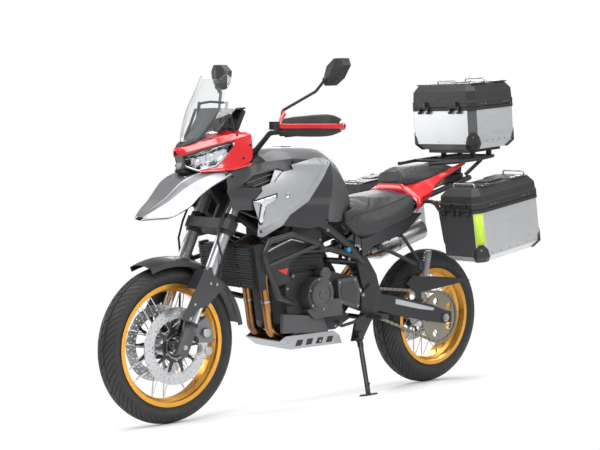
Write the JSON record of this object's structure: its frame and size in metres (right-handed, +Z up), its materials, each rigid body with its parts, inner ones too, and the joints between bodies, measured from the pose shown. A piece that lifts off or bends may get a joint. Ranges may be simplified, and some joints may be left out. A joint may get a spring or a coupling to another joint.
{
  "type": "adventure motorcycle",
  "caption": "Adventure touring motorcycle on its side stand: tall screen, beak, crash bars, wire wheels, and aluminium side boxes and top box with opening lids.",
  "frame": {"origin": "under the middle of the parked machine's outline, at the ground", "axes": "+X towards the front of the machine, +Y towards its left, +Z up; the machine leans 10 degrees to +Y onto its side stand"},
  "size_m": [2.3075, 1.0906, 1.5634],
  "materials": {
    "satin_black_paint": "satin",
    "dark_cast_metal": "satin",
    "bronze_pipe": "heat tinted, semi gloss",
    "brushed_metal": "brushed",
    "bare_aluminium": "satin",
    "silver_paint": "metallic gloss",
    "chain_steel": "satin",
    "black_plastic": "fine grain",
    "graphite_paint": "metallic satin",
    "clear_lens": "clear gloss",
    "red_paint": "gloss",
    "clear_screen": "clear gloss",
    "seat_cover": "fine grained, matte",
    "amber_lens": "clear gloss",
    "box_aluminium": "brushed",
    "fork_metal": "satin",
    "polished_steel": "polished",
    "black_rubber": "matte",
    "tyre_rubber": "matte",
    "gold_rim": "anodised satin"
  },
  "bodies": {
    "chassis": {"main_frame": "satin_black_paint", "subframe": "satin_black_paint", "engine_block": "dark_cast_metal", "engine_covers": "dark_cast_metal", "exhaust_headers": "bronze_pipe", "silencer": "brushed_metal", "radiator": "dark_cast_metal", "skid_plate": "bare_aluminium", "crash_bars": "satin_black_paint", "swingarm": "silver_paint", "rear_shock": "dark_cast_metal", "chain": "chain_steel", "chain_guard": "black_plastic", "rear_caliper": "dark_cast_metal", "rear_axle": "chain_steel", "fuel_tank": "graphite_paint", "beak": "silver_paint", "side_fairings": "silver_paint", "dark_panels": "graphite_paint", "headlight": "clear_lens", "nose_cowl": "red_paint", "windscreen": "clear_screen", "dashboard": "black_plastic", "rider_seat": "seat_cover", "pillion_seat": "seat_cover", "tail_cowl": "red_paint", "rear_fender": "black_plastic", "lamps": "amber_lens", "footrests": "dark_cast_metal", "luggage_racks": "satin_black_paint", "top_box": "box_aluminium", "left_box": "box_aluminium", "right_box": "box_aluminium"},
    "steering": {"triple_clamps": "dark_cast_metal", "fork_tubes": "fork_metal", "fork_sliders": "polished_steel", "front_axle": "chain_steel", "front_fender": "silver_paint", "front_calipers": "dark_cast_metal", "handlebar": "satin_black_paint", "controls": "black_rubber", "hand_guards": "black_plastic", "mirrors": "black_plastic", "hoses": "black_rubber"},
    "front_wheel": {"front_tyre": "tyre_rubber", "front_rim": "gold_rim", "front_hub": "dark_cast_metal", "front_discs": "polished_steel"},
    "rear_wheel": {"rear_tyre": "tyre_rubber", "rear_rim": "gold_rim", "rear_hub": "dark_cast_metal", "rear_disc": "polished_steel", "rear_sprocket": "chain_steel"},
    "top_lid": {"top_lid": "black_plastic"},
    "left_lid": {"left_lid": "black_plastic"},
    "right_lid": {"right_lid": "black_plastic"},
    "side_stand": {"side_stand": "satin_black_paint"}
  },
  "joints": [
    {"name": "steering_head", "type": "hinge", "parent": "chassis", "child": "steering", "pos_m": [0.55319, -0.02724, 0.78939], "axis": [-0.4258, 0.1571, 0.8911], "range_deg": [-30, 30]},
    {"name": "front_wheel_spin", "type": "hinge", "parent": "steering", "child": "front_wheel", "pos_m": [0.815, -0.10909, 0.32519], "axis": [0, 0.9848, -0.1736], "continuous": true},
    {"name": "rear_wheel_spin", "type": "hinge", "parent": "chassis", "child": "rear_wheel", "pos_m": [-0.725, -0.11048, 0.31731], "axis": [0, 0.9848, -0.1736], "continuous": true},
    {"name": "side_stand_hinge", "type": "hinge", "parent": "chassis", "child": "side_stand", "pos_m": [-0.133, 0.04031, 0.25112], "axis": [-0.0096, 0.9416, 0.3366], "range_deg": [0, 104]},
    {"name": "left_lid_hinge", "type": "hinge", "parent": "chassis", "child": "left_lid", "pos_m": [-0.53912, 0.35452, 0.7719], "axis": [0, 0.9848, -0.1736], "range_deg": [0, 90]},
    {"name": "right_lid_hinge", "type": "hinge", "parent": "chassis", "child": "right_lid", "pos_m": [-0.53912, -0.39196, 0.90353], "axis": [0, 0.9848, -0.1736], "range_deg": [0, 90]},
    {"name": "top_lid_hinge", "type": "hinge", "parent": "chassis", "child": "top_lid", "pos_m": [-0.81304, 0.06284, 1.30027], "axis": [0, 0.9848, -0.1736], "range_deg": [0, 90]}
  ]
}
